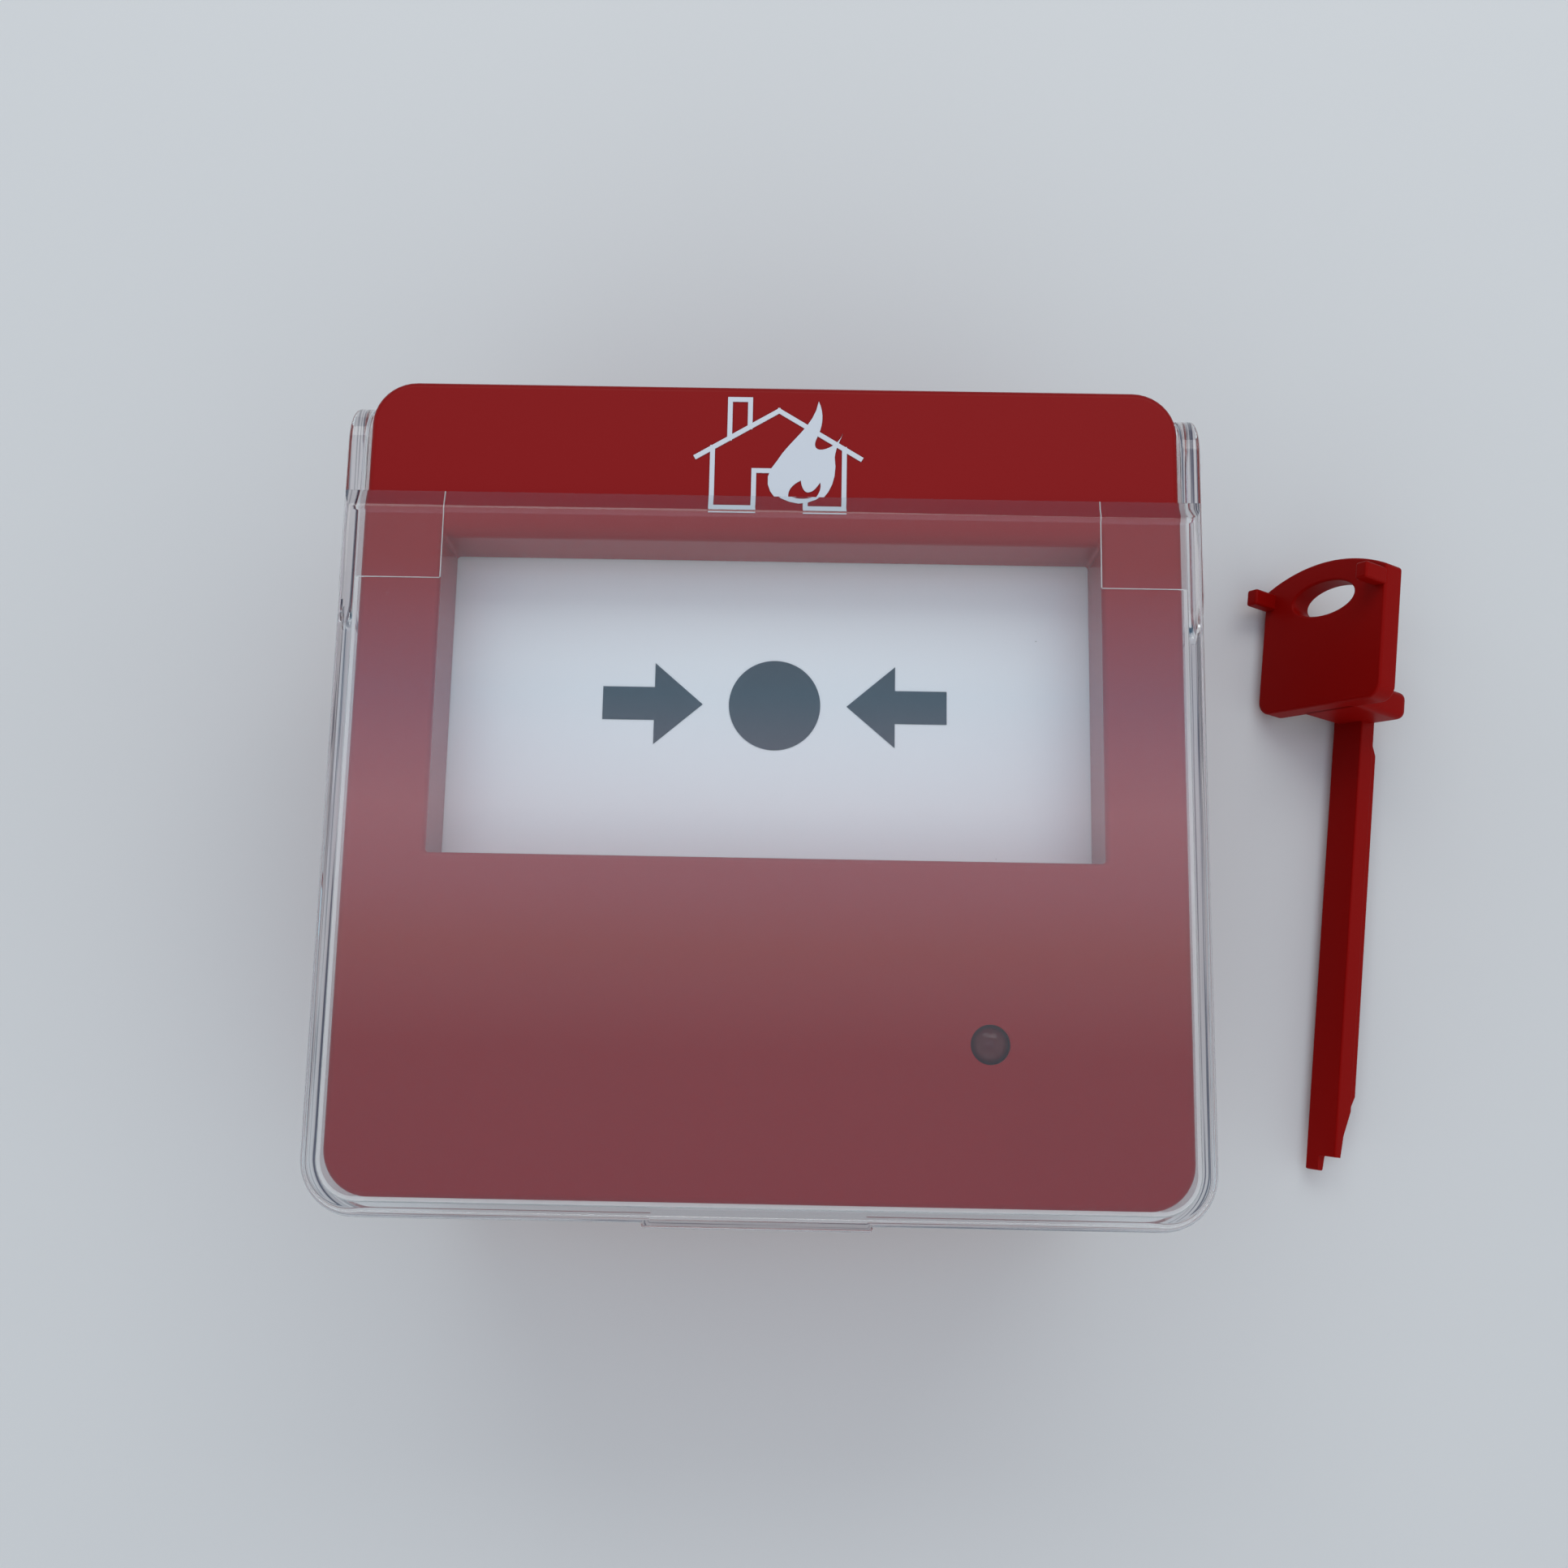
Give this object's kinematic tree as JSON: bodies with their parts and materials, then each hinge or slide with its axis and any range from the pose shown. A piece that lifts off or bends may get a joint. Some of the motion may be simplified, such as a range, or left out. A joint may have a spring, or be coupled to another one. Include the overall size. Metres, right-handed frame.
{
  "type": "manual call point",
  "caption": "Surface-mounted fire alarm call point with a press plate, clear hinged cover, back box and test key.",
  "frame": {"origin": "centre of the back face that meets the wall, midway between the wall screw holes", "axes": "+Z away from the wall through the front face, +Y up the wall towards the house and flame mark, +X to the right seen from the front"},
  "size_m": [0.1356, 0.0934, 0.0525],
  "materials": {
    "red_plastic": "fine moulded texture, satin",
    "box_plastic": "fine moulded texture, satin",
    "key_plastic": "moulded, semi gloss",
    "clear_cover": "clear polycarbonate, polished",
    "plate_plastic": "smooth, satin",
    "print_dark": "screen print",
    "print_white": "pad print",
    "chassis_plastic": "moulded, satin",
    "black_plastic": "moulded, satin",
    "flag_plastic": "moulded, satin",
    "board": "solder mask over glass fibre laminate",
    "chips": "moulded epoxy",
    "dip_red": "moulded",
    "dip_white": "moulded",
    "terminal_green": "moulded",
    "steel": "zinc plated",
    "spring_steel": "bright spring wire",
    "led_body": "surface mount package",
    "lens": "dark red translucent acrylic",
    "rubber": "moulded rubber"
  },
  "bodies": {
    "housing": {"back_box": "box_plastic", "box_seal": "rubber", "front_housing": "red_plastic", "house_flame_mark": "print_white", "chassis": "chassis_plastic", "circuit_board": "board", "board_chips": "chips", "address_switch": "dip_red", "address_levers": "dip_white", "terminal_blocks": "terminal_green", "terminal_screws": "steel", "board_screws": "steel", "chassis_screws": "steel", "status_led": "led_body", "indicator_lens": "lens", "switch_body": "black_plastic", "detent_springs": "spring_steel", "cable_grommet": "rubber", "entry_plugs": "box_plastic", "plate_springs": "spring_steel"},
    "cover": {"flip_cover": "clear_cover"},
    "press_plate": {"operating_plate": "plate_plastic", "plate_marks": "print_dark", "plate_carrier": "black_plastic"},
    "flag": {"alarm_flag": "flag_plastic"},
    "lever": {"switch_lever": "spring_steel"},
    "key": {"test_key": "key_plastic"}
  },
  "joints": [
    {"name": "cover_hinge", "type": "hinge", "parent": "housing", "child": "cover", "pos_m": [0, 0.0385, 0.044], "axis": [-1, 0, 0], "range_deg": [0, 150]},
    {"name": "element_press", "type": "slide", "parent": "housing", "child": "press_plate", "axis": [0, 0, -1], "range_m": [0, 0.0025], "stiffness_N_per_m": 400, "springref_m": -0.004, "deforming": ["plate_springs"]},
    {"name": "flag_slide", "type": "slide", "parent": "housing", "child": "flag", "axis": [0, -1, 0], "range_m": [0, 0.0078]},
    {"name": "switch_lever_pivot", "type": "hinge", "parent": "housing", "child": "lever", "pos_m": [0.0109, 0, 0.03575], "axis": [0, 1, 0], "range_deg": [0, 10.34]},
    {"name": "key_lift", "type": "slide", "parent": "housing", "child": "key", "axis": [0, 0, 1], "range_m": [0, 0.06]}
  ],
  "couplings": [
    {"joint": "flag_slide", "follows": "element_press", "ratio": 3.1195},
    {"joint": "switch_lever_pivot", "follows": "element_press", "rad_per_m": 72.063}
  ]
}
